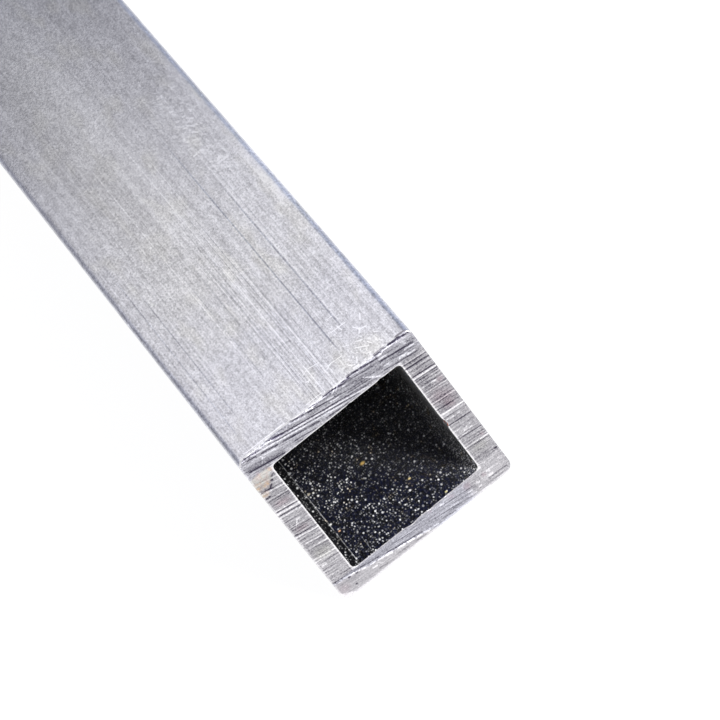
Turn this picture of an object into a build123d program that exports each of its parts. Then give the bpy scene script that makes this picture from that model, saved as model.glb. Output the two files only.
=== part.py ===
from build123d import *

import os

# Square tube of extruded aluminium, 1 in across with a 1/8 in wall, sawn to a 1 ft length.
# +X runs along the tube, +Z is up, and the origin is in the middle of the face that it lies on.

# Driving dimensions, in millimetres
side = 25.4  # across the outside, the same both ways
wall = 3.175  # thickness of each of the four walls
length = 304.8  # from one sawn end to the other
upper_edge_radius = 0.8  # the two outside edges along the top
lower_edge_radius = 1.2  # the two outside edges along the bottom, which are rounder
bore_edge_radius = 0.7  # the four edges inside the bore
mouth_chamfer = 0.2  # the broken edge where the bore meets each sawn end

# Sizes that follow from them
bore = side - 2 * wall  # across the bore, the same both ways
centre_height = side / 2  # of the tube's middle line above the face that it lies on
first_end = Plane.YZ.offset(-length / 2)  # the sawn end that the sections are drawn on

with BuildPart() as square_tube:
    # The outside: a square whose upper and lower corners have their own radii
    with BuildSketch(first_end):
        with Locations((0, centre_height)):
            Rectangle(side, side)
    extrude(amount=length)
    long_edges = square_tube.edges().filter_by(Axis.X).group_by(Axis.Z)
    fillet(long_edges[-1], radius=upper_edge_radius)
    long_edges = square_tube.edges().filter_by(Axis.X).group_by(Axis.Z)
    fillet(long_edges[0], radius=lower_edge_radius)

    # The bore, which goes right through
    with BuildSketch(first_end):
        with Locations((0, centre_height)):
            RectangleRounded(bore, bore, bore_edge_radius)
    extrude(amount=length, mode=Mode.SUBTRACT)

    # The rim of the bore's mouth at each end, broken all the way round
    sawn_ends = square_tube.faces().filter_by(Axis.X)
    mouth_rims = [sawn_end.inner_wires()[0].edges() for sawn_end in sawn_ends]
    chamfer([edge for rim in mouth_rims for edge in rim], length=mouth_chamfer)

square_tube.part.label = "square_tube"

os.makedirs("parts", exist_ok=True)
export_step(square_tube.part, "parts/square_tube.step")
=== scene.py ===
"""A sawn length of square aluminium tube, finished with the marks of its making."""

import math
from functools import cached_property

import bpy
import numpy as np
from mathutils import Matrix, Vector


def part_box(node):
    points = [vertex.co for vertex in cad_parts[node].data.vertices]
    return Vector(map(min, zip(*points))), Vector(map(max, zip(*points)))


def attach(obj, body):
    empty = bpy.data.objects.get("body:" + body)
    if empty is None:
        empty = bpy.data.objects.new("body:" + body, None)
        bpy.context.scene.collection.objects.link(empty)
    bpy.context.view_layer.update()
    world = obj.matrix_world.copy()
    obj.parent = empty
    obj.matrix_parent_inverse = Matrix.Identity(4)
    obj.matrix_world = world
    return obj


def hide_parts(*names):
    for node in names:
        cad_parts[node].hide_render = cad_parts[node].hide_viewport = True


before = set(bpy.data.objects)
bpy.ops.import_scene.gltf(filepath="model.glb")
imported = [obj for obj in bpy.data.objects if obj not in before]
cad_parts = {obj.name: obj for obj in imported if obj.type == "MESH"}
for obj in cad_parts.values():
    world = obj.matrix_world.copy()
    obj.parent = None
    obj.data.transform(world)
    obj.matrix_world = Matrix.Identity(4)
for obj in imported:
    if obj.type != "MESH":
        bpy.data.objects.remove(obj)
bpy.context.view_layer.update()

MM = 0.001  # sizes below are in millimetres, and Blender works in metres

# The stock, from the part's box in model.glb. It runs along x, and the near end is the one at low x.
near_corner, far_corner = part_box("square_tube")
length = (far_corner.x - near_corner.x) / MM
side = (far_corner.z - near_corner.z) / MM
half = side / 2
wall = 3.175
bore = side - 2 * wall
upper_radius = 0.8  # of the two outside edges along the top
lower_radius = 1.2  # of the two outside edges along the bottom
bore_radius = 0.7  # of the four edges inside the bore
mouth_chamfer = 0.12  # the broken rim of each mouth
bore_off = (0.115, -0.035)  # how far along y and z the bore lies off the middle
worn_edge = 0.12  # the rubbed outer rim of each sawn end

# How finely the mesh is cut
side_cuts = 75  # along each half of a straight side of the section
near_cuts = 38  # across a wall of the near end, from the outside to the bore
far_cuts = 14  # across a wall of the far end
corner_segments = 6
rim_segments = 2
end_steps = (0.2, 0.25, 0.45, 0.9, 2.2, 5, 9, 16, 28)  # rings in from each end
middle_steps = 3
near_enough = 0.01  # a point this close to a plane counts as on it

# How deep the tools and the handling have marked it
saw_depth = 0.035  # the saw's ordinary marks, up or down
end_reach = 3.0  # how far in from a sawn end its waviness dies out
rolled_depth = 0.25  # how far back the upper edge of the near end leans
rolled_height = 0.35  # how far down that leaning starts
seam_step = 0.06  # how far the second cut stands proud of the first
seam_height = 0.15  # over how much height that step comes
burr = 0.07  # how far the near end's saw pushed the standing walls over the bore
burr_reach = 0.4  # how far in from the end the burr dies out
burr_corner = 0.6  # how far from the bore's corners the burr is whole
burr_thinness = 6  # how many times the burr's own thickness goes into the wall

# How steeply the saw's marks fall to the right across a sawn end, how much more steeply near its top
# and less steeply near its foot, and for both the height where that starts and the height it takes
saw_lean = 0.12
top_lean, top_lean_from, top_lean_over = 0.07, 18, 5
foot_lean, foot_lean_from, foot_lean_over = 0.02, 4.5, 3

# The lesser strokes of the saw on each end, which come at random
random_strokes = 260
random_runs = (1.5, 9)  # how far they run across the end
random_widths = (0.05, 0.1)
random_spread = 0.35  # how far their weights spread about 0
fine_spacing = 0.15  # between the finest lines, which cover a whole end


# -------- the tube's shape


def select_edges(mesh, wanted):
    """Leaves only those edges selected whose two ends, in millimetres, the test accepts."""
    bpy.ops.mesh.select_all(action="DESELECT")
    bpy.ops.object.mode_set(mode="OBJECT")
    places = [vertex.co / MM for vertex in mesh.vertices]
    for edge in mesh.edges:
        edge.select = bool(wanted(*(places[i] for i in edge.vertices)))
    bpy.ops.object.mode_set(mode="EDIT")
    bpy.ops.mesh.select_mode(type="EDGE")


def select_corners(mesh, wanted):
    """Leaves only those vertices selected whose place, in millimetres, the test accepts."""
    bpy.ops.mesh.select_all(action="DESELECT")
    bpy.ops.mesh.select_mode(type="VERT")
    bpy.ops.object.mode_set(mode="OBJECT")
    for vertex in mesh.vertices:
        vertex.select = bool(wanted(vertex.co / MM))
    bpy.ops.object.mode_set(mode="EDIT")


def from_middle(place):
    """Half the width of the square round the tube's middle line that passes through a point."""
    return max(abs(place.y), abs(place.z - half))


def at_an_end(place):
    return abs(abs(place.x) - length / 2) < near_enough


def on_bore(place):
    return from_middle(place) < bore / 2 + near_enough


def on_skin(place):
    return from_middle(place) > half - lower_radius


def is_bore_corner(place):
    """Whether a point is one of the four sharp corners of the bore's outline."""
    sideways = abs(abs(place.y) - bore / 2)
    upwards = abs(abs(place.z - half) - bore / 2)
    return max(sideways, upwards) < near_enough


def round_corners(mesh, radius, wanted):
    """Rounds the corners of a flat outline that the test accepts."""
    select_corners(mesh, wanted)
    bpy.ops.mesh.bevel(offset=radius * MM, affect="VERTICES", segments=corner_segments)


def add_standing_square(width):
    """Adds a square across the tube at its near end, round its middle line."""
    bpy.ops.mesh.primitive_plane_add(
        size=width * MM,
        location=(-length / 2 * MM, 0, half * MM),
        rotation=(0, math.radians(-90), 0),
    )


def draw_section():
    """The wall of the tube as one flat ring of faces at its near end."""
    bpy.ops.object.select_all(action="DESELECT")
    add_standing_square(side)
    tube = bpy.context.object
    tube.name = "sawn_square_tube"
    bpy.ops.object.transform_apply(location=True, rotation=True, scale=True)
    mesh = tube.data
    bpy.ops.object.mode_set(mode="EDIT")
    round_corners(mesh, upper_radius, lambda place: place.z > half)
    round_corners(mesh, lower_radius, lambda place: place.z < half)
    add_standing_square(bore)
    round_corners(mesh, bore_radius, is_bore_corner)
    bpy.ops.mesh.select_all(action="SELECT")
    bpy.ops.mesh.delete(type="ONLY_FACE")
    select_edges(mesh, lambda a, b: (a - b).length > 2 * lower_radius)
    bpy.ops.mesh.subdivide(number_cuts=1)
    bpy.ops.mesh.subdivide(number_cuts=side_cuts)
    bpy.ops.mesh.select_all(action="SELECT")
    bpy.ops.mesh.bridge_edge_loops()
    return tube


def draw_out():
    """Draws the section out to the tube's length, in short steps near the ends and long ones between."""
    middle_step = (length - 2 * sum(end_steps)) / middle_steps
    steps = (*end_steps, *[middle_step] * middle_steps, *reversed(end_steps))
    bpy.ops.mesh.select_all(action="SELECT")
    for step in steps:
        bpy.ops.mesh.extrude_region_move(TRANSFORM_OT_translate={"value": (step * MM, 0, 0)})
    bpy.ops.mesh.select_all(action="SELECT")
    bpy.ops.mesh.normals_make_consistent(inside=False)


def break_rim(mesh, width, lies_on):
    """Breaks, at both sawn ends, the rim whose points the test accepts."""
    select_edges(mesh, lambda a, b: all(at_an_end(end) and lies_on(end) for end in (a, b)))
    bpy.ops.mesh.bevel(offset=width * MM, affect="EDGES", segments=rim_segments)


def cut_end_across(mesh, facing, cuts):
    """Cuts the flat of a sawn end, the one on this side of x, into rows from the outside to the bore."""
    select_edges(mesh, lambda a, b: is_across_wall(a, b) and a.x * facing > 0)
    bpy.ops.mesh.subdivide(number_cuts=cuts)


def is_across_wall(a, b):
    return at_an_end(a) and at_an_end(b) and (a - b).length > wall / 2


def refine_near_end(mesh):
    """Halves the near end's faces along its outline, because its marks are the finest."""
    select_edges(mesh, lambda a, b: at_an_end(a) and at_an_end(b) and a.x < 0 and runs_round(a, b))
    bpy.ops.mesh.subdivide(number_cuts=1)


def runs_round(a, b):
    """Whether an edge on an end runs round the bore, rather than outwards from it."""
    middle = (a + b) / 2
    outward = Vector((0, middle.y, middle.z - half)).normalized()
    straight_out = 0.85
    return abs((b - a).normalized().dot(outward)) < straight_out


# -------- marks left by tools and handling

# A stroke is (start, end, width, weight). On a sawn end its start and end are (right, up) as someone
# facing that end sees it, measured from the middle of the underside. A weight above 0 stands proud,
# and one below 0 is a groove; on a sawn end the proud strokes are also painted bright and the grooves
# dark, as painted highlight and painted shade of how the saw's real marks take the light.
top_wall_strokes = (
    ((-11.9, 25.28), (2.5, 22.55), 0.1, 1.1), ((-11.5, 25.6), (-8, 24.96), 0.08, 0.5),
    ((-8.6, 25.07), (5.8, 22.42), 0.1, 1.1), ((-11.5, 24.62), (-7.2, 23.65), 0.14, 0.7),
    ((-12.5, 23.25), (-8.3, 22.4), 0.1, 0.9), ((-5.5, 25.33), (-2.6, 24.75), 0.11, 0.7),
    ((0.2, 24.2), (1.6, 23.9), 0.1, 0.8), ((-4.2, 25.55), (4.5, 23.95), 0.09, 0.5),
    ((0.3, 25.15), (7.5, 24.05), 0.08, 0.4), ((3.6, 25.3), (6.8, 24.75), 0.1, 0.8),
    ((10.2, 24.95), (12.4, 24.7), 0.09, 0.5), ((-9.6, 25.02), (4.9, 22.37), 0.11, -1.1),
    ((-12, 25.35), (-9.4, 25.02), 0.09, -0.8), ((-11.6, 24.9), (-10.2, 24.63), 0.09, -0.8),
    ((-9.8, 24.55), (-7.3, 24.02), 0.1, -1), ((-7.1, 24), (-1.6, 22.95), 0.11, -1.1),
    ((-9, 25.3), (6.4, 22.56), 0.12, -1.1), ((-8, 25.1), (-4.6, 24.5), 0.12, -0.6),
    ((-2.7, 25.05), (-2.5, 25.4), 0.07, 0.9), ((-2.4, 25.15), (-1.6, 25.05), 0.07, 0.8),
    ((-2.5, 24.95), (-1.9, 24.87), 0.09, -0.9), ((-1.6, 25.05), (-1, 24.9), 0.08, -0.7),
    ((-1.3, 24.35), (-0.4, 24.2), 0.08, 0.6), ((-5, 25.3), (-2.9, 25.05), 0.11, -1.2),
    ((-3.2, 25.1), (2.5, 24), 0.1, -0.7), ((-2.3, 25.35), (6.5, 23.95), 0.1, -0.6),
    ((-0.2, 25.32), (1.9, 25.2), 0.09, -1), ((0.3, 25.42), (7.4, 24.28), 0.1, -0.7),
    ((7.5, 24.27), (12.5, 23.5), 0.1, -1.1), ((3.4, 25.33), (5.2, 25.17), 0.1, -1.3),
    ((5, 25.22), (8, 24.78), 0.11, -0.8), ((8, 24.78), (12.5, 24.05), 0.09, -0.5),
    ((7.4, 25.33), (9.3, 25.3), 0.09, -1.2), ((9.3, 25.28), (12.6, 24.97), 0.11, -1.1),
    ((7.2, 22.95), (12.4, 22.1), 0.11, -0.7), ((6.5, 23.8), (12.5, 22.9), 0.1, -0.6),
    ((2.3, 23.7), (6, 23.15), 0.1, -0.7), ((2, 24.05), (5.8, 23.5), 0.1, -0.6),
    ((-0.9, 22.75), (2.2, 22.4), 0.09, -0.8), ((-5.9, 23.05), (-2.5, 22.42), 0.12, -1),
    ((-5.8, 22.62), (-4.6, 22.47), 0.09, -0.8), ((-12.5, 23.5), (-6.7, 22.45), 0.12, -1.1),
    ((-12.4, 24.15), (-8, 23.3), 0.1, -0.4), ((-12, 23), (-9.2, 22.45), 0.09, -0.8),
    ((-10.3, 23.2), (-9.7, 24.1), 0.07, 0.9), ((-10.1, 23.1), (-9.5, 23.9), 0.05, 0.6),
    ((5, 24.1), (6.1, 23.1), 0.09, 1), ((5.8, 23.3), (7.3, 22.35), 0.15, 1),
    ((0.9, 24.8), (1.9, 25.45), 0.07, 1), ((1.5, 24.8), (2.1, 25.3), 0.06, 0.7),
    ((0.1, 24.6), (1.1, 24.45), 0.09, 0.8), ((2.4, 24.75), (3, 24.7), 0.1, 0.9),
    ((7.6, 24.6), (8.8, 24.5), 0.11, 1.1), ((7.8, 25.05), (8.5, 24.95), 0.1, 0.9),
    ((8.5, 25.2), (9.3, 25.15), 0.08, 0.4), ((7.7, 23.45), (8.6, 23.3), 0.1, 0.8),
    ((7.4, 23.95), (8.2, 23.85), 0.08, 0.6), ((9.2, 24.85), (10, 24.95), 0.08, 0.4),
    ((10.9, 24.6), (11.5, 24), 0.2, 0.9), ((9.7, 23), (11.1, 22.72), 0.2, 1.1),
    ((10.7, 22.65), (12, 22.5), 0.14, 0.8), ((10.7, 23.45), (12.2, 23.2), 0.1, 1),
)
left_wall_strokes = (
    ((-12.1, 19.95), (-11.2, 19.72), 0.1, -1.3), ((-11.4, 19.75), (-10.7, 20.3), 0.1, -1),
    ((-11.9, 21.35), (-11.4, 21.25), 0.06, -0.6), ((-10.3, 21), (-9.7, 21.45), 0.12, -0.6),
    ((-12.6, 18.9), (-12.2, 18.9), 0.09, -1.2), ((-12.15, 18.95), (-11.85, 18.9), 0.08, -1),
    ((-10.7, 20.65), (-10.3, 20.65), 0.12, -1.8), ((-11.75, 13.05), (-11.1, 13.95), 0.06, 1.1),
    ((-11.2, 13.9), (-10.6, 14), 0.12, 1), ((-12.6, 12.2), (-12.2, 12), 0.14, -0.9),
    ((-12.2, 10.4), (-11.2, 10.2), 0.12, 0.6), ((-10.9, 10.1), (-9.9, 9.85), 0.12, 0.7),
    ((-10.9, 9.3), (-9.5, 9), 0.1, 0.7), ((-12.5, 6.3), (-11.5, 6.15), 0.22, 0.8),
    ((-12.7, 3.25), (-12.2, 3.05), 0.15, -0.9),
)
right_wall_strokes = (
    ((10, 17.3), (11, 17.2), 0.11, -0.6), ((11, 17.35), (11.7, 17.15), 0.16, 0.8),
    ((9.6, 11.75), (10.9, 11.5), 0.12, 0.8), ((11.2, 11.6), (11.6, 11.4), 0.1, 0.8),
    ((9.5, 10.15), (10.2, 10.05), 0.08, 0.5), ((9.4, 9.65), (10.7, 9.5), 0.1, 0.7),
    ((10.6, 9), (11.9, 9.3), 0.09, 0.6), ((10.5, 8.9), (11.9, 8.7), 0.1, 0.8),
    ((10.2, 8.6), (10.9, 8.35), 0.1, 0.7), ((11, 7.85), (12.4, 7.55), 0.09, 0.6),
    ((11.4, 6.45), (12.9, 6.25), 0.12, 0.6), ((9.7, 3.65), (10.5, 3.35), 0.1, 0.7),
    ((12.1, 4.1), (12.6, 4), 0.15, -0.9),
)
bottom_wall_strokes = (
    ((-12.6, 3.2), (-9, 2.68), 0.13, -0.7), ((-9.4, 2.78), (-6, 2.08), 0.16, -0.65),
    ((-6.6, 2.2), (-4.6, 1.75), 0.11, -0.7), ((-5.4, 1.85), (-3.2, 1.45), 0.1, -1.1),
    ((-3.6, 1.55), (-0.2, 1), 0.11, -0.8), ((-11.3, 2.9), (-9.6, 2.6), 0.09, 1.1),
    ((-9.9, 2.6), (-8.9, 2.42), 0.08, 0.7), ((-8.9, 2.3), (-7.9, 2.05), 0.14, 0.9),
    ((-7.8, 2.05), (-6.8, 1.95), 0.09, 1.1), ((-6.8, 1.9), (-5.3, 1.65), 0.13, 1),
    ((-5.6, 1.62), (-4.6, 1.42), 0.1, 1), ((-4.2, 1.35), (-2.9, 1.2), 0.09, 0.7),
    ((-2.8, 1.2), (-1.6, 1), 0.1, 1.1), ((-1.5, 0.9), (-0.6, 0.75), 0.09, 0.8),
    ((-0.5, 0.9), (0.3, 0.55), 0.12, 1.1), ((0.2, 0.65), (1.7, 0.5), 0.12, 1.2),
    ((-10.7, 2.6), (-10.3, 2.5), 0.11, -1.8), ((-9.7, 2.45), (-9.3, 2.35), 0.1, -1.3),
    ((-10.5, 1.15), (-10.2, 1.05), 0.1, -1.4), ((-12.6, 2.4), (-8.3, 1.6), 0.2, -0.4),
    ((-12, 1.4), (-8.9, 0.8), 0.14, -0.4), ((-7.8, 1.5), (-7, 1.3), 0.2, 0.6),
    ((-6.9, 1.75), (-6.3, 1), 0.12, 0.5), ((-7.2, 0.85), (-5.9, 0.55), 0.16, -0.5),
    ((-4.6, 0.95), (-2.6, 0.6), 0.16, -0.4), ((-1.8, 0.6), (-0.2, 0.35), 0.12, -0.5),
    ((-5.3, 2.6), (5.8, 0.72), 0.12, -0.6), ((-4.5, 2), (3.5, 0.72), 0.09, 0.4),
    ((-3.4, 2.45), (6.3, 0.9), 0.09, 0.5), ((-2.5, 2.55), (6.5, 1.15), 0.1, -0.4),
    ((1, 2.5), (7.6, 1.6), 0.1, -0.45), ((-1.5, 2.65), (4.6, 1.75), 0.08, 0.4),
    ((2, 0.7), (4.4, 0.4), 0.12, -0.7), ((3, 2.45), (3.7, 2.35), 0.14, 1),
    ((6.5, 1.4), (7.3, 1.25), 0.13, 1.1), ((6.3, 0.8), (7.6, 0.7), 0.11, 1),
    ((7.8, 1.65), (8.6, 1.55), 0.16, 0.9), ((7.9, 1.05), (8.5, 1), 0.14, 0.8),
    ((9.8, 2.15), (10.4, 2.05), 0.18, 1.1), ((9.7, 1.4), (10.4, 1.35), 0.16, 1.2),
    ((9.2, 1.15), (12.5, 1), 0.1, -0.75), ((9.2, 0.65), (12.2, 0.35), 0.11, -0.45),
    ((9.4, 0.85), (12.3, 0.68), 0.08, 0.45), ((8.6, 2.75), (12.6, 2.2), 0.1, -0.4),
)

# Lines right across the two standing walls of the near end: how high, halfway across, and weight
left_wall_lines = (
    (21.18, -0.3), (20.93, 0.4), (20.68, -0.35), (19.7, -0.8), (19.42, 0.9), (19.22, -0.3),
    (19.05, 0.4), (18.63, -0.55), (18.42, 0.5), (18.17, -0.5), (17.85, -0.5), (17.27, -0.5),
    (16.77, -0.5), (16.42, 0.9), (16.18, -0.7), (15.88, 1.3), (15.53, -1), (15.25, 0.6),
    (14.27, -0.45), (14, 0.4), (13.28, 0.5), (13.05, -0.45), (12.7, -0.5), (12.3, -0.45),
    (11.85, -1), (11.55, 1), (11.3, -0.55), (11.08, 0.5), (10.85, -0.45), (10.55, 0.5),
    (10.35, -0.4), (10.13, 0.6), (9.87, -0.4), (9.55, -0.45), (9.28, 0.6), (8.98, -0.5),
    (7.8, -0.4), (7.43, 1), (7.18, -0.6), (6.97, 0.35), (6.62, -0.5), (6.37, 0.45),
    (5.37, -0.5), (5.1, 0.45), (4.85, -0.4), (4.28, 0.4), (3.72, -0.5),
)
right_wall_lines = (
    (21.65, 0.7), (21.42, -1), (21.12, 0.7), (20.85, -0.9), (20.53, 0.45), (20.18, -0.7),
    (19.88, 0.3), (19.68, -0.5), (19.33, -0.9), (19.05, 1.1), (18.82, -0.7), (18.5, -0.45),
    (18.32, 0.35), (18.1, -0.55), (17.88, 0.45), (17.62, -0.6), (17.33, 0.4), (16.7, -0.6),
    (16.45, 0.7), (16.27, -0.35), (16.12, 0.4), (15.77, -0.55), (15.52, 0.5), (15.3, -0.5),
    (14.85, -0.6), (14.58, 0.8), (14.35, -0.5), (13.9, -0.5), (13.68, 0.45), (13.43, -0.7),
    (12.77, -0.5), (12.5, 1.1), (12.27, -0.35), (12.12, 0.4), (11.87, -0.5), (10.62, -0.6),
    (9.85, -0.4), (8.12, -0.6), (7.52, -0.45), (7.07, -0.45), (6.57, 0.9), (6.28, -0.7),
    (5.23, -0.4), (4.23, -0.45), (3.9, -0.5), (3.68, 0.6),
)


def lines_across(lines, middle, slope):
    """Strokes right across a standing wall of the near end, falling to the right."""
    reach = wall / 2 + 0.4  # a little past the wall on both sides
    strokes = []
    for up, weight in lines:
        start = (middle - reach, up + slope * reach)
        end = (middle + reach, up - slope * reach)
        strokes.append((start, end, 0.1, weight))
    return strokes


near_end_strokes = (
    *top_wall_strokes,
    *left_wall_strokes,
    *right_wall_strokes,
    *bottom_wall_strokes,
    *lines_across(left_wall_lines, middle=-11, slope=0.18),
    *lines_across(right_wall_lines, middle=11, slope=0.145),
)

# Broad places of the near end that are darker or lighter than the rest
near_end_patches = (
    ((-12.7, 23.85), (-7, 22.75), 0.45, -0.52), ((-8, 24), (-5.2, 23), 0.5, -0.1),
    ((-12.6, 25.2), (-8.6, 25.15), 0.2, -0.35), ((-5.4, 25.2), (-2.4, 25.1), 0.2, -0.3),
    ((-2.8, 25), (2, 24.4), 0.45, -0.4), ((-1.9, 24.75), (-1.6, 24.7), 0.25, -0.25),
    ((1.5, 24.7), (8.6, 23.6), 0.9, -0.38), ((8.6, 23.6), (12.6, 23.3), 0.9, -0.2),
    ((-0.5, 25.2), (12.6, 25.1), 0.2, -0.35), ((-8.6, 25.2), (-6.6, 25.1), 0.2, -0.2),
    ((10.9, 23.5), (10.9, 12.5), 1.6, -0.32), ((11, 13), (11, 3), 1.6, -0.14),
    ((11.3, 19.3), (11.6, 17.9), 0.3, 0.35), ((-12.7, 20.2), (-10.7, 19.7), 0.45, -0.4),
    ((-13.6, 20.8), (-10.2, 20.6), 0.55, -0.42), ((-13.2, 19.5), (-11.5, 19.4), 0.25, -0.3),
    ((-13.2, 21.4), (-9.8, 21.2), 0.3, -0.22), ((-12.9, 18.4), (-9.2, 17.8), 0.9, -0.3),
    ((-12.9, 14), (-9.2, 13.4), 1.2, -0.2), ((-12.9, 9.4), (-9.2, 8.7), 1.4, -0.18),
    ((-9.6, 2.85), (-4, 2.3), 0.4, -0.12), ((-0.5, 1.3), (6.5, 0.9), 0.35, -0.08),
    ((1, 2.5), (7, 2.3), 0.4, 0.18), ((8.5, 2.2), (12.6, 2), 0.9, 0.22),
)

# Where the near end is tinted by old cutting fluid, pink above 0 and green below it; where it is
# stained pale; and where it is rusty
near_end_blushes = (
    ((-12.6, 17.5), (-9.6, 17), 0.45, 1), ((-12.6, 12.8), (-9.8, 12.3), 0.45, 0.7),
    ((9.6, 16.4), (12.6, 13.2), 1.1, 0.8), ((10.4, 13.9), (12.2, 12.7), 0.5, 0.9),
    ((11.6, 17.4), (12.5, 16.6), 0.4, 0.9), ((11.7, 7.1), (12.4, 6.7), 0.25, 0.9),
    ((1.4, 2.9), (2.1, 2.6), 0.22, 1), ((4.3, 2.9), (5.3, 2.2), 0.3, 0.8),
    ((6.4, 2.6), (7.6, 1.9), 0.5, 1), ((9, 2.3), (9.8, 1.7), 0.3, 0.8),
    ((-12.6, 2.4), (-11, 0.9), 0.7, 0.6), ((-12.9, 8.2), (-9.3, 7.6), 0.9, -0.9),
    ((9.5, 5.9), (12.6, 5.5), 0.7, -0.7), ((-11.7, 22.7), (-11.1, 22.4), 0.25, 1.2),
    ((-10.4, 22.6), (-9.9, 22.4), 0.15, 1),
)
near_end_stains = (
    ((-13.8, 20.6), (-9.6, 21.6), 0.7, 1), ((-13.5, 22.1), (-8.9, 22.1), 0.35, 0.9),
    ((-13.4, 19.5), (-11.2, 19.5), 0.4, 0.8), ((9.5, 13.9), (12.6, 13.5), 0.5, 0.2),
)
near_end_rust = (
    ((-12, 20.4), (-10.7, 20.75), 0.28, 1), ((-10.15, 22.4), (-9.6, 21.7), 0.2, 0.9),
    ((-11.35, 22.7), (-11.35, 21.2), 0.06, 0.7), ((-13, 20.8), (-12.1, 20.75), 0.2, 0.9),
    ((-12.9, 19.75), (-11.8, 19.2), 0.18, 0.6), ((-12.8, 21.45), (-11.6, 21.2), 0.12, 0.6),
)

# The second cut's edge on the near end: below this line, from left to right, that cut shows
seam_line = ((-12.7, 3), (-9, 2.6), (-7.8, 2.1), (-5.4, 1.85), (-3, 1.35), (0, 0.75), (2.2, 0))

# Places of the near end that were knocked or torn: (right, up), how far it reaches to the side,
# up and in, and how far that place is moved to the right, up and in.
near_end_dents = (
    ((-7, 25.5), (2.2, 0.5, 1.2), (0, 0, 0.3)), ((4.5, 25.5), (1, 0.3, 0.8), (0, 0, 0.12)),
    ((10.6, 25.5), (1.8, 0.4, 1), (0, 0, 0.18)), ((-0.8, 3), (0.8, 0.4, 1), (0, -0.22, 0)),
    ((3.5, 3), (6, 0.3, 1), (0, -0.12, 0)), ((2, 3), (0.5, 0.3, 0.8), (0, -0.12, 0)),
    ((9.55, 11.5), (0.3, 0.6, 0.8), (0.22, 0, 0)), ((6.6, 22.2), (0.3, 0.3, 0.6), (0, 0.1, 0)),
    ((2, 22.2), (0.25, 0.3, 0.6), (0, 0.08, 0)), ((-12.5, 3), (0.3, 0.3, 0.6), (0.1, 0, 0.05)),
)

# The two sawn ends: which way each faces along x, the seed of its random strokes, the strokes given
# one by one, and how strong its random ones are
sawn_ends = (
    (-1, 11, near_end_strokes, 0.45),
    (1, 12, (), 1.5),
)


def ease(share):
    """A smooth 0 to 1 as share goes from 0 to 1."""
    held = np.clip(share, 0, 1)
    return held * held * (3 - 2 * held)


def stroke_sum(right, up, strokes, taper=0.12):
    """How much the strokes weigh at each point; taper is the part of a stroke that each end fades over."""
    total = np.zeros(len(right))
    for (start_right, start_up), (end_right, end_up), width, weight in strokes:
        run_right = end_right - start_right
        run_up = end_up - start_up
        reach = math.hypot(run_right, run_up)
        along = ((right - start_right) * run_right + (up - start_up) * run_up) / reach**2
        beside = ((up - start_up) * run_right - (right - start_right) * run_up) / reach
        ends = ease(along / taper) * ease((1 - along) / taper)
        total += weight * ends * np.exp(-((beside / width) ** 2))
    return total


def saw_slope(up):
    """How steeply the saw's marks fall to the right at a height on a sawn end."""
    steeper = top_lean * ease((up - top_lean_from) / top_lean_over)
    return saw_lean + steeper - foot_lean * ease((foot_lean_from - up) / foot_lean_over)


def saw_grain(right, up, chance):
    """Fine even lines of the saw over a whole end, stronger towards the top."""
    across_marks = up + saw_slope(up) * right
    knots = np.arange(-10, 36, fine_spacing)  # from well below the end to well above it
    fine = np.interp(across_marks, knots, chance.normal(0, 1, len(knots)))
    return fine * (0.20 + 0.15 * ease((up - 14) / 5))


def random_saw_strokes(chance):
    """Lesser strokes all over a sawn end, along the way that the blade went, and weaker at its foot."""
    strokes = []
    for _ in range(random_strokes):
        right = chance.uniform(-half, half)
        up = chance.uniform(0, side)
        run = chance.uniform(*random_runs)
        drop = run / 2 * saw_slope(up)
        weight = chance.normal(0, random_spread) * (0.35 + 0.65 * ease((up - 2) / 3))
        width = chance.uniform(*random_widths)
        strokes.append(((right - run / 2, up + drop), (right + run / 2, up - drop), width, weight))
    return strokes


# In what follows, place holds the x, y and z of all points as they were, and moved as they are so far


def from_ends(place):
    """How far points lie in from the nearer end."""
    return length / 2 - abs(place[0])


def from_bore(place):
    """How far out from the bore points lie, where 0 is the bore and 1 is the outside."""
    y, z = place[1:]
    return (np.maximum(abs(y), abs(z - half)) - bore / 2) / wall


def fading(inward):
    """How much of an end's waviness is left this far in from it."""
    return ease(1 - inward / end_reach) ** 2


def spread(values, close):
    """The values of the points that are close, and 0 for all others."""
    spread_out = np.zeros(len(close))
    spread_out[close] = values
    return spread_out


def put_bore_off_middle(place, moved):
    """Moves the bore to where it lies, and the walls with it, less and less towards the outside."""
    share = ease(1 - from_bore(place))
    moved[1] += bore_off[0] * share
    moved[2] += bore_off[1] * share


def saw_both_ends(place, moved):
    """Presses the saw's marks into both ends, and returns how much they weigh on each point."""
    x, y, z = place
    inward = from_ends(place)
    on_end = inward < worn_edge + near_enough
    mark = np.zeros(len(x))
    for facing, seed, strokes, by_chance in sawn_ends:
        chance = np.random.default_rng(seed)
        close = (facing * x > 0) & (inward < end_reach)
        right = facing * y[close]
        up = z[close]
        saw = stroke_sum(right, up, random_saw_strokes(chance)) + saw_grain(right, up, chance)
        saw = by_chance * saw + stroke_sum(right, up, strokes)
        moved[0, close] += facing * saw_depth * np.clip(saw, -2, 2) * fading(inward[close])
        mark[close & on_end] = saw[on_end[close]]
    return mark


def push_burr(place, moved):
    """Pushes the two standing walls of the near end a little over its mouth."""
    x, y, z = place
    standing = ease((abs(y) - abs(z - half)) / burr_corner) * (x < 0)
    on_brink = ease(1 - burr_thinness * from_bore(place))
    at_mouth = np.exp(-((from_ends(place) / burr_reach) ** 2))
    moved[1] -= np.sign(y) * burr * standing * on_brink * at_mouth


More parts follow.
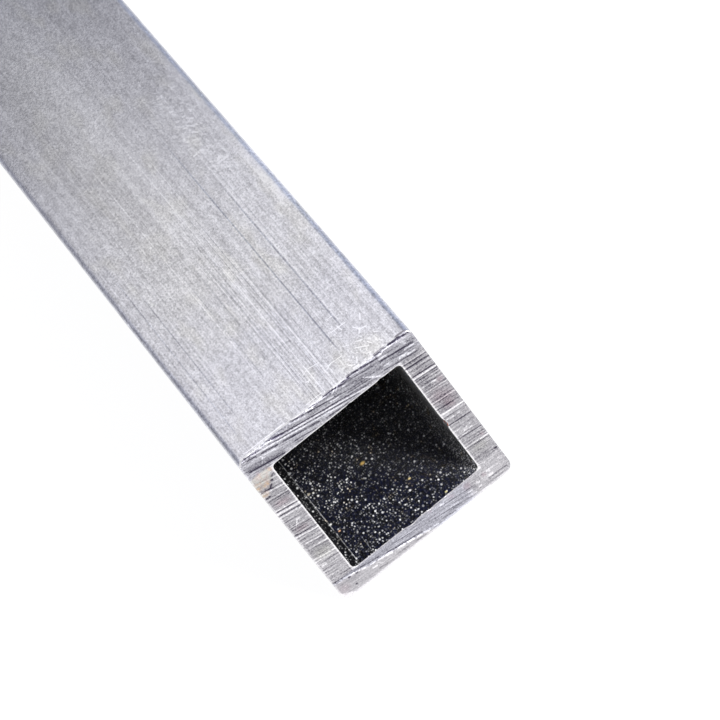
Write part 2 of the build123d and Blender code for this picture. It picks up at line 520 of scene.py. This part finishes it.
def shape_near_end(place, moved):
    """Leans the near end's upper edge back, raises its second cut, dents it, and returns its tints."""
    x, y, z = place
    close = (x < 0) & (from_ends(place) < end_reach)
    right = -y[close]
    up = z[close]
    inward = from_ends(place)[close]
    rolled = rolled_depth * ease((up - side + rolled_height) / rolled_height)
    seam = np.interp(right, *zip(*seam_line))
    below = ease((seam - up) / seam_height)
    moved[0, close] += (rolled - seam_step * below) * fading(inward)
    for spot, reach, move in near_end_dents:
        far = ((right - spot[0]) / reach[0]) ** 2 + ((up - spot[1]) / reach[1]) ** 2
        share = np.exp(-far - (inward / reach[2]) ** 2)
        moved[0, close] += move[2] * share
        moved[1, close] -= move[0] * share
        moved[2, close] += move[1] * share
    tints = {
        "patch": stroke_sum(right, up, near_end_patches, taper=0.1),
        "second_cut": below,
        "blush": stroke_sum(right, up, near_end_blushes, taper=0.4),
        "stain": stroke_sum(right, up, near_end_stains, taper=0.4),
        "rust": stroke_sum(right, up, near_end_rust, taper=0.4),
    }
    return {name: spread(values, close) for name, values in tints.items()}


def mark_tube(tube):
    """Moves the tube's points by the marks on it, and keeps on each point what its colour needs."""
    mesh = tube.data
    flat = np.empty(len(mesh.vertices) * 3)
    mesh.vertices.foreach_get("co", flat)
    place = flat.reshape(-1, 3).T / MM
    moved = place.copy()
    put_bore_off_middle(place, moved)
    mark = saw_both_ends(place, moved)
    push_burr(place, moved)
    tints = shape_near_end(place, moved)
    mesh.vertices.foreach_set("co", (moved.T * MM).ravel())
    for name, values in {"mark": mark, **tints}.items():
        mesh.attributes.new(name, "FLOAT", "POINT").data.foreach_set("value", values)
    mesh.update()


# -------- finishes


class Value:
    """A value in a finish, which Python's own arithmetic signs work on by adding Math nodes."""

    def __init__(self, finish, socket):
        self.finish = finish
        self.socket = socket

    def maths(self, operation, *terms):
        return self.finish.node("Math", dict(enumerate(terms)), {"operation": operation})

    def __add__(self, other):
        return self.maths("ADD", self, other)

    def __sub__(self, other):
        return self.maths("SUBTRACT", self, other)

    def __rsub__(self, other):
        return self.maths("SUBTRACT", other, self)

    def __mul__(self, other):
        return self.maths("MULTIPLY", self, other)

    def __abs__(self):
        return self.maths("ABSOLUTE", self)

    def or_more(self, other):
        return self.maths("MAXIMUM", self, other)

    __radd__ = __add__
    __rmul__ = __mul__


class Finish:
    """A node tree being written: a material's, or the world's. Its sizes are in millimetres."""

    def __init__(self, owner):
        owner.use_nodes = True
        self.owner = owner
        self.tree = owner.node_tree
        self.tree.nodes.clear()

    def node(self, kind, sockets=None, settings=None, output=0):
        """Adds a node, sets it up, gives its sockets their values or links, and returns one output."""
        node = self.tree.nodes.new("ShaderNode" + kind)
        for name, setting in (settings or {}).items():
            setattr(node, name, setting)
        for name, given in (sockets or {}).items():
            if isinstance(given, Value):
                self.tree.links.new(given.socket, node.inputs[name])
            else:
                node.inputs[name].default_value = given
        if output is None or not node.outputs:
            return node
        return Value(self, node.outputs[output])

    def mix(self, share, first, second, blend="MIX"):
        """One colour over another."""
        settings = {"data_type": "RGBA", "blend_type": blend}
        return self.node("Mix", {0: share, 6: first, 7: second}, settings, output=2)

    def tint(self, share, colour, by):
        """A colour seen through another, as far as this share goes."""
        return self.mix(share, colour, by, blend="MULTIPLY")

    def band(self, value, low, high):
        """A smooth 0 to 1 as a value goes from low to high; high may be the lower number."""
        settings = {"interpolation_type": "SMOOTHSTEP"}
        return self.node("MapRange", {"Value": value, 1: low, 2: high}, settings)

    def vector(self, operation, *terms, output="Vector"):
        """What a Vector Math node makes of these vectors."""
        return self.node("VectorMath", dict(enumerate(terms)), {"operation": operation}, output)

    def parts(self, vector):
        """The three numbers of a vector."""
        split = self.node("SeparateXYZ", {0: vector}, output=None)
        return [Value(self, split.outputs[axis]) for axis in "XYZ"]

    @cached_property
    def place(self):
        """The point's own place on the tube."""
        in_metres = self.node("TexCoord", output="Object")
        return self.vector("MULTIPLY", in_metres, [1 / MM] * 3)

    @cached_property
    def axes(self):
        """The point's place along x, y and z."""
        return self.parts(self.place)

    @cached_property
    def inward(self):
        """How far the point lies in from the near end."""
        return self.axes[0] + length / 2

    def cells(self, size, shift, place=None):
        """A place measured in lumps of this size along x, y and z."""
        scale = [1 / lump for lump in size]
        start = (shift, shift * 1.7, shift * 2.3)
        return self.vector("MULTIPLY_ADD", place or self.place, scale, start)

    def noise(self, size, shift=0.0, detail=1.0, place=None):
        """Noise about 0, mostly from -0.2 to 0.2, in lumps of this size."""
        sockets = {"Vector": self.cells(size, shift, place), "Scale": 1.0, "Detail": detail}
        return self.node("TexNoise", sockets) - 0.5

    def patches(self, size, low, high, **options):
        """Noise in lumps of this size, drawn as 0 where it is low and 1 where it is high."""
        return self.band(self.noise(size, **options), low, high)

    def flecks(self, size, width, share, shift=0.0):
        """Round flecks on 0 in this share of the cells of this size, from dim up to 1."""
        sockets = {"Vector": self.cells(size, shift), "Scale": 1.0}
        cell = self.node("TexVoronoi", sockets, output=None)
        distance = Value(self, cell.outputs["Distance"])
        chance = self.parts(Value(self, cell.outputs["Color"]))[0]
        return self.band(distance, width, width * 0.55) * self.band(chance, 1 - share, 1)

    def near(self, place, reach):
        """1 at a place (right, in from the near end, up), dying out at this reach from it."""
        distance = self.vector("DISTANCE", self.place, on_tube(*place), output="Value")
        return self.band(distance, reach, reach * 0.3)

    def drawn_line(self, right, start, end, width):
        """A line of 1 on 0 along the tube, from start to end as measured in from the near end."""
        beside = self.band(abs(self.axes[1] + right), width, 0.0)
        fade = (end - start) * 0.4
        return beside * self.band(self.inward, start, start + 4) * self.band(self.inward, end, end - fade)

    def scratch(self, start, end, width):
        """A scratch of 1 on 0 on the upper side, between two places (right, in from the near end)."""
        first = on_tube(*start, side)
        last = on_tube(*end, side)
        way = (last - first).normalized()
        offset = self.vector("SUBTRACT", self.place, (first + last) / 2)
        along = self.vector("DOT_PRODUCT", offset, way, output="Value")
        aside = self.vector("DOT_PRODUCT", offset, way.cross(Vector((0, 0, 1))), output="Value")
        reach = (last - first).length / 2
        return self.band(abs(aside), width, 0.0) * self.band(abs(along), reach, reach * 0.6)

    def kept(self, name):
        """A value that the points of the mesh carry."""
        return self.node("Attribute", settings={"attribute_name": name}, output="Fac")

    def surface(self, colour, roughness, height, metallic=1.0, gloss=0.5):
        """Ends a material with this colour, roughness and relief: bare metal, unless metallic is less."""
        bump = self.node("Bump", {"Distance": MM, "Height": height})
        sockets = {
            "Base Color": colour,
            "Roughness": roughness,
            "Metallic": metallic,
            "Specular IOR Level": gloss,
            "Normal": bump,
        }
        shader = self.node("BsdfPrincipled", sockets)
        self.node("OutputMaterial", {"Surface": shader})
        return self.owner


def on_tube(right, inward, up):
    """The point at a place given as seen from in front of the near end: right, in from it, and up."""
    return Vector((inward - length / 2, -right, up))


# Single places, as (right, in from the near end, up)
torn_corner = (7.3, 2, side)
warm_corner = (6, 1, side)
dirty_corner = (11.6, 0, side)
rust_in_bore = (9.5, 0.8, 11.1)
rust_on_rim = (9.5, 0, 11.05)

# Lines that the die left on the upper side: how far right they lie as seen from the near end, how
# far in from it they start and end, their width, and how much lighter or darker they are.
die_lines = (
    (-10.5, 2, 60, 0.1, -0.4), (-9.2, 6, 50, 0.11, -0.35), (-8.3, 14, 40, 0.1, -0.15),
    (-3.85, 8, 45, 0.08, -0.3), (-2.2, 14, 45, 0.08, -0.3), (-0.8, -4, 45, 0.08, -0.3),
    (0.25, 10, 50, 0.08, -0.25), (1.75, 0, 60, 0.09, -0.3), (2.35, 0, 45, 0.07, -0.3),
    (3.1, 5, 40, 0.07, -0.25), (4.85, 4, 75, 0.18, -0.52), (6.88, 7, 56, 0.18, -0.42),
    (7.6, 14, 60, 0.1, -0.2), (9.2, 10, 45, 0.08, -0.2), (-4.25, 3, 84, 0.14, 0.38),
    (-6.4, 20, 100, 0.14, 0.2), (-1.45, -4, 60, 0.07, 0.35), (-1.1, -4, 50, 0.07, 0.45),
    (-0.4, 0, 50, 0.06, 0.3), (0.55, -4, 90, 0.12, 0.45), (2.05, -4, 80, 0.09, 0.45),
    (2.75, 0, 50, 0.07, 0.35), (3.5, 4, 45, 0.07, 0.25), (5.55, 1, 45, 0.09, 0.35),
    (5.95, 2, 35, 0.07, 0.35), (7.12, 8, 70, 0.08, 0.3),
)

# Broad soft bands of the upper side, given in the same way. The rows 12 mm or more to either side lie on
# the rounded long edges: there they are painted shade and a painted highlight of how those edges take the
# light.
broad_bands = (
    (-0.6, 40, 170, 5, 0.12), (11.75, 8, 115, 0.9, 0.13), (11.8, 34, 60, 1.3, 0.2),
    (8, 26, 90, 2.5, 0.05), (-11.7, -6, 34, 0.8, -0.07), (8.8, 72, 150, 3, -0.09),
    (8, 44, 76, 4, 0.06), (-1.75, 68, 115, 5, 0.07), (6, -6, 34, 30, -0.06),
    (12.4, 14, 120, 0.2, -0.14), (-11.5, 70, 115, 3, -0.07), (-3, 38, 62, 5, -0.03),
    (-12.45, -6, 100, 0.18, -0.22), (-12.12, -6, 100, 0.14, 0.16), (-9, 0, 32, 0.6, -0.1),
    (-11.7, 18, 64, 0.8, -0.06), (4.5, 32, 115, 2.2, 0.09), (10.9, 36, 100, 1.8, 0.09),
    (11.8, -6, 7, 0.9, -0.16), (-9, -6, 4, 4.5, -0.12), (-9, 20, 42, 4, -0.06),
    (12.3, 62, 120, 0.5, -0.08),
)

# Scuffs on the upper side by the near end: start and end as (right, in from the end), and width
upper_scuffs = (
    ((5.3, 9), (7.8, 8.8), 0.13), ((6.5, 9.3), (6.7, 7.9), 0.1), ((9, 7.2), (9.6, 8.6), 0.13),
    ((8.4, 5.9), (7.8, 7.2), 0.12), ((6, 11.6), (7, 11.4), 0.1), ((-0.4, 5.6), (0.6, 6.2), 0.1),
    ((0.6, 6.2), (2.2, 5.8), 0.09), ((-0.6, 4.4), (0, 4.1), 0.1), ((2.4, 4.2), (5, 4), 0.11),
    ((7.9, 5.2), (8.5, 6.3), 0.18), ((8.2, 6), (9.3, 5.6), 0.16), ((4.7, 0.6), (5.7, 0.5), 0.3),
    ((0.2, 4.5), (-0.3, 3.9), 0.09), ((2.2, 3.6), (3.4, 4.3), 0.09), ((5.4, 5.4), (6.2, 4.8), 0.1),
    ((6.9, 4.6), (7.9, 3.9), 0.12), ((8, 3.2), (8.4, 2.2), 0.12), ((9.3, 3.9), (9.9, 3.2), 0.11),
    ((4.6, 1.6), (5.3, 0.9), 0.12), ((6.9, 1.4), (7.9, 1), 0.1), ((-11.5, 0.75), (-5, 0.7), 0.12),
    ((8.2, 51.8), (9.1, 51.8), 0.3), ((9.1, 51.8), (10, 51.7), 0.3), ((8.5, 52.2), (9.1, 53), 0.24),
    ((8.4, 62.8), (9.2, 61.5), 0.2), ((8.9, 64.4), (9.7, 63), 0.2), ((8.4, 61), (9, 59.9), 0.2),
    ((6.5, 56.4), (7.2, 56.3), 0.24), ((7.6, 56.7), (8.1, 56), 0.24),
    ((-2.4, 0.8), (0.4, 0.75), 0.1), ((6.2, 3.8), (8, 2.2), 0.13), ((5.5, 0.9), (6, 2), 0.12),
)


def lines_along(finish, table):
    """The lines of a table, drawn along the tube and added up."""
    return sum(weight * finish.drawn_line(*line) for *line, weight in table)


def upper_wear(finish, outermost):
    """The upper side's wear: close-set lines, scuffs, a torn corner, nicked edges and chatter."""
    x, y, z = finish.axes
    close_set = finish.drawn_line(0.8, -20, 60, 4) * finish.noise((60, 0.17, 0.17), shift=2)
    torn = finish.patches((0.5, 0.3, 0.3), 0.04, 0.2, shift=12)
    scuffs = sum(finish.scratch(*scuff) for scuff in upper_scuffs)
    scuffs = scuffs + 0.34 * torn * finish.near(torn_corner, 5)
    nicks = outermost * finish.patches((0.9, 0.3, 0.3), 0.12, 0.20, shift=5)
    turned = {"X": -0.8 * x - 0.6 * y, "Y": 0.8 * y - 0.6 * x, "Z": z}
    crosswise = finish.node("CombineXYZ", turned)
    chatter = finish.patches((1.1, 0.5, 0.8), -0.05, 0.25, shift=3, place=crosswise) - 0.3
    chatter = chatter * finish.drawn_line(8.5, 47, 84, 4)
    return 1.4 * close_set + 1.15 * scuffs + 0.4 * nicks + 0.3 * chatter


def extruded_skin():
    """The mill finish of the outer sides: grey, with fine grain and lines drawn out along the tube."""
    cool_dark, cool_light = (0.305, 0.295, 0.32, 1), (0.955, 0.94, 0.975, 1)
    warm_dark, warm_light = (0.315, 0.30, 0.295, 1), (0.96, 0.94, 0.92, 1)
    groove_blue = (0.88, 0.92, 1, 1)
    # A painted reflection: a faint blue over the upper side's rounded long edges, for the bluish studio
    # they reflect
    edge_reflection_blue = (0.95, 0.985, 1.04, 1)
    finish = Finish(bpy.data.materials.new("extruded_skin"))
    x, y, z = finish.axes
    upper = finish.band(z, side - 1.5, side - 0.5)
    outermost = finish.band(abs(y), half - 0.9, half - 0.2)
    handled = 0.3 + 0.7 * finish.band(length / 2 - abs(x), 75, 38)  # roughest near the ends

    # The fine grain is partly real and partly painted sparkle: the glints of the mill finish painted into
    # its colour
    grain = finish.noise((0.40, 0.26, 0.26))
    fine = finish.noise((0.22, 0.16, 0.16), shift=4)
    curls = finish.band(abs(finish.noise((0.7, 0.5, 0.5), shift=2)), 0.04, 0)
    blotches = finish.noise((1.5, 0.65, 0.65), shift=13)
    mottle = finish.noise((3.5, 1.8, 1.8), shift=7, detail=3)
    broad = finish.noise((160, 2.2, 2.2), shift=6)
    ground = handled * (1.05 * grain + 0.7 * fine + 0.2 * curls)
    ground = ground + 0.42 * blotches + 0.34 * mottle + 0.20 * broad

    lines = finish.noise((70, 0.22, 0.22), shift=3, detail=2)
    drawn = lines_along(finish, die_lines)
    broken = finish.patches((7, 0.8, 0.8), -0.12, 0.15, shift=1)
    above = lines_along(finish, broad_bands) + drawn * (0.45 + 0.65 * broken)
    tone = 0.57 + ground + lines * (0.3 + 0.38 * handled) + upper * above
    tone = tone + (1 - upper) * 0.4 * lines
    tone = tone + upper * upper_wear(finish, outermost)

    warmth = 0.6 * finish.patches((9, 3, 3), 0, 0.2, shift=9, detail=2)
    warmth = warmth + 0.35 * finish.drawn_line(-4.5, 28, 130, 9)
    warmth = warmth + 0.4 * finish.drawn_line(0, 18, 150, 24)
    warmth = warmth + 0.35 * finish.near(warm_corner, 6)
    dark = finish.mix(warmth, cool_dark, warm_dark)
    light = finish.mix(warmth, cool_light, warm_light)
    colour = finish.mix(tone, dark, light)
    colour = finish.tint(0.8 * upper * finish.band(drawn, -0.05, -0.5), colour, groove_blue)
    # Painted reflection of the bluish studio on the rounded long edges
    colour = finish.tint(0.8 * upper * outermost, colour, edge_reflection_blue)
    return finish.surface(colour, 0.40 + 0.25 * grain, 0.02 * grain + 0.006 * lines)


def painted_edge_highlights(finish):
    """Painted highlights along the edges of a sawn end: round the bore, along its foot, and on the near
    one's left.
    """
    y, z = finish.axes[1:]
    beside = abs(y - bore_off[0]).or_more(abs(z - (half + bore_off[1])))
    bore_rim = finish.band(beside, bore / 2 + 0.22, bore / 2 + 0.10)
    past_flat = (y - 10.9).or_more(0)  # there the foot rises, round the lower edge
    foot = finish.band(z - 0.6 * past_flat, 0.5, 0.1)
    left_brink = finish.band(y, half - 0.28, half - 0.06)
    return 0.38 * bore_rim + 0.4 * foot + 0.3 * left_brink


def tint_end(finish, tone, colour):
    """Tints a sawn end: cooler in places, blushed by cutting fluid, stained pale and a little rusty."""
    cool = (0.92, 0.94, 1, 1)
    pink = (0.88, 0.72, 0.76, 1)
    green = (0.95, 0.97, 0.86, 1)
    stain_dark = (0.12, 0.10, 0.10, 1)
    stain_brown, stain_grey = (0.82, 0.71, 0.66, 1), (0.80, 0.80, 0.75, 1)
    rust_brown = (0.66, 0.46, 0.29, 1)
    y, z = finish.axes[1:]
    low_cool = finish.band(z, 3.3, 2.9) * (1 - finish.kept("second_cut")) * finish.band(y, -8, -6)
    colour = finish.tint(0.6 * finish.band(z, 21.5, 23) + low_cool, colour, cool)
    colour = finish.tint(0.6 * finish.kept("blush"), colour, pink)
    colour = finish.tint(-0.6 * finish.kept("blush"), colour, green)
    blotch = finish.patches((0.8, 0.7, 0.5), -0.12, 0.12, shift=3, detail=2)
    stain = finish.mix(0.35 + 0.85 * tone, stain_dark, finish.mix(blotch, stain_brown, stain_grey))
    colour = finish.mix(0.8 * finish.band(finish.kept("stain"), 0.15, 0.6), colour, stain)
    rust = finish.kept("rust") * (0.3 + 0.7 * finish.patches((0.3, 0.3, 0.22), -0.1, 0.08, shift=6))
    return finish.mix(0.8 * rust, colour, rust_brown)


def sawn_face():
    """The sawn ends: strokes of the blade over a torn, grainy ground, with the strokes' brightness and
    darkness and the fine streaks partly painted highlight and painted shade of the saw's marks.
    """
    # dark and bright serve partly as the painted shade and painted highlight of the saw's marks
    dark = (0.055, 0.048, 0.072, 1)
    bright = (0.98, 0.96, 0.985, 1)
    finish = Finish(bpy.data.materials.new("sawn_face"))
    x, y, z = finish.axes
    facing = 2 * finish.band(x, -1, 1) - 1
    lean = saw_lean + top_lean * finish.band(z, top_lean_from, top_lean_from + top_lean_over)
    along_marks = {"X": x, "Y": y, "Z": z + facing * lean * y}
    with_blade = finish.node("CombineXYZ", along_marks)

    grain = finish.noise((0.3, 0.25, 0.17))
    fine = finish.noise((0.15, 0.13, 0.09), shift=4)
    streaks = finish.noise((9, 5.0, 0.20), shift=5, detail=2, place=with_blade)
    short = finish.noise((3, 1.6, 0.13), shift=6, place=with_blade)
    close_lines = finish.noise((9, 3.5, 0.13), shift=15, place=with_blade)
    torn = finish.patches((0.6, 0.55, 0.3), 0.10, 0.2, shift=8, detail=2)
    ground = 0.7 * grain + 0.5 * fine + 0.4 * streaks + 0.5 * short + 0.4 * close_lines + 0.12 * torn

    # The mark is real relief; proud places are painted brighter and grooves darker, as painted highlight
    # and painted shade
    mark = finish.kept("mark")
    crumbs = finish.patches((0.4, 0.35, 0.16), -0.14, 0.06, shift=13, place=with_blade)
    proud = finish.band(mark, 0.2, 0.75) * (0.3 + 0.75 * crumbs)
    groove = finish.band(mark, -0.2, -0.75)
    second_cut = finish.kept("second_cut")
    # The sawn end's edges get painted highlights
    tone = 0.45 + ground * (1 - 0.4 * second_cut) + 0.05 * second_cut + painted_edge_highlights(finish)
    tone = tone + 0.10 * mark + 0.38 * proud - 0.28 * groove + 0.45 * finish.kept("patch")
    colour = tint_end(finish, tone, finish.mix(tone, dark, bright))
    return finish.surface(colour, 0.45 + 0.2 * grain, 0.02 * grain + 0.02 * streaks)


# Specks of swarf and rust on the floor of the bore, as (right, in from the near end), reach, colour
bore_specks = (
    (-0.9, 15.1, 0.45, (0.98, 0.66, 0.22, 1)), (2.25, 6.9, 0.28, (0.9, 0.72, 0.35, 1)),
    (4.6, 0.5, 0.25, (0.88, 0.78, 0.35, 1)), (-8.1, 7.4, 0.24, (0.95, 0.55, 0.32, 1)),
    (-8.5, 22.6, 0.34, (1, 1, 1, 1)), (-8.25, 16.9, 0.3, (0.75, 0.68, 0.52, 1)),
    (-8.45, 9.5, 0.28, (1, 1, 0.96, 1)), (-8.6, 14, 0.2, (0.9, 0.9, 0.9, 1)),
    (-7.2, 24.6, 0.24, (0.8, 0.8, 0.8, 1)), (-8.1, 25.6, 0.26, (0.7, 0.7, 0.7, 1)),
)


def bore_dust(finish, fine, aslant):
    """Bright flecks all over the bore, in loose clumps, dimmer inwards and to the right, and brightened
    further in as painted light where little light reaches.
    """
    big = finish.flecks((0.95, 0.60, 0.60), 0.30, 0.38)
    middling = finish.flecks((0.56, 0.34, 0.34), 0.38, 0.55, shift=4)
    small = finish.flecks((0.42, 0.25, 0.25), 0.44, 0.6, shift=9)
    clumps = finish.patches((7, 4, 4), -0.2, 0.15, shift=2, detail=2)
    dust = (1.7 * big + 1.15 * middling) * (0.48 + 0.47 * clumps) + 0.30 * small + 0.04 * fine
    # Painted light: the flecks are brightened deep in the bore, where little light reaches
    deep = finish.band(finish.inward, 11, 21)
    return dust * (1 - 0.35 * finish.band(aslant, 0, 8)) * (1 + 1.1 * deep)


def bore_shade_lift(finish, fine, aslant):
    """Painted light in the front lamp's shadow on the bore's floor: it starts some way in and is strongest
    in the right corner.
    """
    right_corner = finish.band(finish.axes[1], -7.6, -8.9)
    corner_lift = right_corner * finish.band(finish.inward, 9, 3)
    shade_lift = (0.038 + 0.08 * right_corner) * (0.45 + 2.0 * fine) + corner_lift * (0.03 + 0.7 * fine)
    return shade_lift * (finish.band(aslant, 5, 11) + 0.9 * finish.band(aslant, 11, 16))


def bore_skin():
    """Inside the bore: painted near black as painted shade for the dark inside of the tube, dusty, with
    bright flecks.
    """
    # Painted shade: the near black and navy ground stands in for the shade inside the tube
    black, navy = (0.002, 0.002, 0.004, 1), (0.005, 0.007, 0.027, 1)
    white_dust, yellow_dust = (1, 1, 1, 1), (1, 0.88, 0.68, 1)
    rust_red = (0.70, 0.30, 0.22, 1)
    finish = Finish(bpy.data.materials.new("bore_skin"))
    y, z = finish.axes[1:]
    grain = finish.noise((0.5, 0.3, 0.3), shift=1)
    fine = finish.patches((0.26, 0.17, 0.17), 0, 0.2, shift=8)
    # aslant also runs across the edge of the front lamp's shadow on the bore's floor
    aslant = 0.6 * finish.inward - y  # grows inwards and to the right
    lower = finish.band(z, half, half - 1)
    # Painted shade on the rounding of the bore's two lower corners: blacker ground and dimmer flecks there
    corner_shade = lower * finish.band(abs(y), 8.6, 8.75)
    # A painted highlight along the left of the bore's floor where that corner starts to round, and a short
    # pale line by the mouth
    left_lines = finish.drawn_line(-8.6, -20, 160, 0.09) + finish.drawn_line(-6.5, -10, 5, 0.09)
    lines = lower * left_lines * (0.35 + 1.5 * grain)
    tone = bore_dust(finish, fine, aslant) * (1 - 0.35 * corner_shade) + lines
    # Painted light lifting the front lamp's shadow in the bore
    tone = tone + bore_shade_lift(finish, fine, aslant)
    ground = finish.mix(finish.band(grain, -0.1, 0.15) * (1 - corner_shade), black, navy)
    pale = finish.mix(finish.patches((1.6, 1.0, 1.0), 0.10, 0.20, shift=5), white_dust, yellow_dust)
    colour = finish.mix(tone, ground, pale)
    for right, inward, reach, tint in bore_specks:
        colour = finish.mix(finish.near((right, inward, wall), reach), colour, tint)
    colour = finish.mix(finish.near(rust_in_bore, 0.45), colour, rust_red)
    return finish.surface(colour, 0.55 + 0.2 * grain, 0.01 * grain, metallic=0.0, gloss=0.32)


def broken_rim():
    """The rims of the ends: rubbed metal painted near white as a painted highlight along each narrow rim,
    with the saw's grooves painted darker across them as painted shade.
    """
    dark = (0.36, 0.34, 0.37, 1)
    # bright is a painted highlight on the narrow rims
    bright = (0.99, 0.98, 0.98, 1)
    rust_red = (0.50, 0.20, 0.15, 1)
    finish = Finish(bpy.data.materials.new("broken_rim"))
    y, z = finish.axes[1:]
    grain = finish.noise((0.4, 0.25, 0.25))
    under_bore = finish.band(z, wall + 0.6, wall) * finish.band(abs(y), 9.2, 8.6)
    under_bore = under_bore * finish.band(z, wall - 0.5, wall - 0.3)
    # Painted shade where the saw's grooves cross the rim
    groove = finish.band(finish.kept("mark"), -0.2, -0.75)
    dirty = finish.near(dirty_corner, 1.4)
    tone = 1.0 + 1.3 * grain - 0.7 * under_bore - 0.9 * groove - 1.3 * dirty
    colour = finish.mix(tone, dark, bright)
    colour = finish.mix(finish.near(rust_on_rim, 0.4), colour, rust_red)
    return finish.surface(colour, 0.4 + 0.2 * grain, 0.02 * grain)


# The tube's finishes, in the order of its material slots
tube_finishes = (extruded_skin, sawn_face, bore_skin, broken_rim)


def finish_of(face):
    """Which finish a face of the tube takes, by its place and the way it faces."""
    centre = face.center / MM
    ends_on = abs(face.normal.x)
    if ends_on > 0.99:  # in the plane of the cut
        return sawn_face
    if from_middle(centre) < half - wall / 2:  # inside, where the chamfer's outer half is a rim
        return broken_rim if ends_on > 0.6 else bore_skin
    if ends_on < 0.02:  # along the tube
        return extruded_skin
    return broken_rim if centre.z > side - 0.6 else sawn_face


def dress(tube):
    """Gives each face of the tube its finish."""
    for finish in tube_finishes:
        tube.data.materials.append(finish())
    for face in tube.data.polygons:
        face.material_index = tube_finishes.index(finish_of(face))


# -------- the studio


def build_floor():
    """A plain white floor, which shows white wherever it is lit."""
    width = 30000
    bpy.ops.object.select_all(action="DESELECT")
    bpy.ops.mesh.primitive_plane_add(size=width * MM, location=(0, 0, 0))
    floor = bpy.context.object
    floor.name = "floor"
    finish = Finish(bpy.data.materials.new("white_floor"))
    paint = finish.node("BsdfDiffuse", {"Color": (0.8, 0.8, 0.8, 1)})
    glow = finish.node("Emission", {"Strength": 1.1})
    rays = ("Is Camera Ray", "Is Glossy Ray", "Is Transmission Ray")
    share = sum(0.85 * finish.node("LightPath", output=ray) for ray in rays)
    shader = finish.node("MixShader", {0: share, 1: paint, 2: glow})
    finish.node("OutputMaterial", {"Surface": shader})
    floor.data.materials.append(finish.owner)


def build_world():
    """A white studio; what it lights gets more from the front and the sides, and bluer low down."""
    low_down, overhead = (0.14, 0.155, 0.20, 1), (0.48, 0.48, 0.50, 1)
    on_the_right = (0.53, 0.585, 0.74, 1)
    on_the_left = (0.40, 0.405, 0.47, 1)
    in_front = (0.72, 0.72, 0.74, 1)
    as_seen = (1, 1, 1, 1)
    world = bpy.data.worlds.new("studio")
    bpy.context.scene.world = world
    finish = Finish(world)
    away, aside, up = finish.parts(finish.node("TexCoord", output="Generated"))
    light = finish.mix(finish.band(up, 0.3, 1.0), low_down, overhead)
    light = finish.mix(finish.band(aside, -0.15, -0.45), light, on_the_right)
    light = finish.mix(finish.band(aside, 0.2, 0.5), light, on_the_left)
    light = finish.mix(finish.band(away, -0.2, -0.9), light, in_front)
    seen = finish.node("LightPath", output="Is Camera Ray")
    colour = finish.mix(seen, light, as_seen)
    sky = finish.node("Background", {"Color": colour, "Strength": 1.0})
    finish.node("OutputWorld", {"Surface": sky})


def hang_lamp(name, place, aim, width, brightness):
    """A square soft lamp; brightness is how bright its face is, where white is 1."""
    bpy.ops.object.light_add(type="AREA", location=Vector(place) * MM)
    lamp = bpy.context.object
    lamp.name = name
    lamp.data.size = width * MM
    lamp.data.energy = brightness * math.pi * (width * MM) ** 2
    lamp.rotation_euler = (Vector(aim) - Vector(place)).to_track_quat("-Z", "Y").to_euler()
    lamp.visible_camera = False


def place_camera():
    """The camera: in front of the near end and above it, rolled to send the tube to the upper left."""
    sensor_width = 36.0
    lens = 298.35
    place = Vector((-710.3, 9.2, 429.15)) * MM
    turn = math.radians(-1.56)
    down = math.radians(35.83)
    roll = math.radians(-37.60)
    bpy.ops.object.camera_add()
    camera = bpy.context.object
    camera.name = "camera"
    camera.data.sensor_width = sensor_width
    camera.data.lens = lens
    camera.data.clip_end = 100  # metres
    facing = Matrix.Rotation(turn - math.pi / 2, 4, "Z") @ Matrix.Rotation(math.pi / 2 - down, 4, "X")
    camera.matrix_world = Matrix.Translation(place) @ facing @ Matrix.Rotation(roll, 4, "Z")
    bpy.context.scene.camera = camera


# -------- making it

bpy.context.scene.view_settings.view_transform = "Standard"
place_camera()
build_floor()
build_world()
hang_lamp("soft_top", place=(0, 0, 200), aim=(-180, 0, side), width=140, brightness=1.35)
hang_lamp("front_right", place=(-554, -271, 366), aim=(-150, 0, half), width=200, brightness=36)

tube = draw_section()
draw_out()
break_rim(tube.data, mouth_chamfer, on_bore)
break_rim(tube.data, worn_edge, on_skin)
cut_end_across(tube.data, -1, near_cuts)
cut_end_across(tube.data, 1, far_cuts)
refine_near_end(tube.data)
bpy.ops.object.mode_set(mode="OBJECT")
dress(tube)
mark_tube(tube)
bpy.ops.object.select_all(action="DESELECT")
tube.select_set(True)
bpy.context.view_layer.objects.active = tube
bpy.ops.object.shade_smooth_by_angle(angle=math.radians(40))
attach(tube, "root")
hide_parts("square_tube")
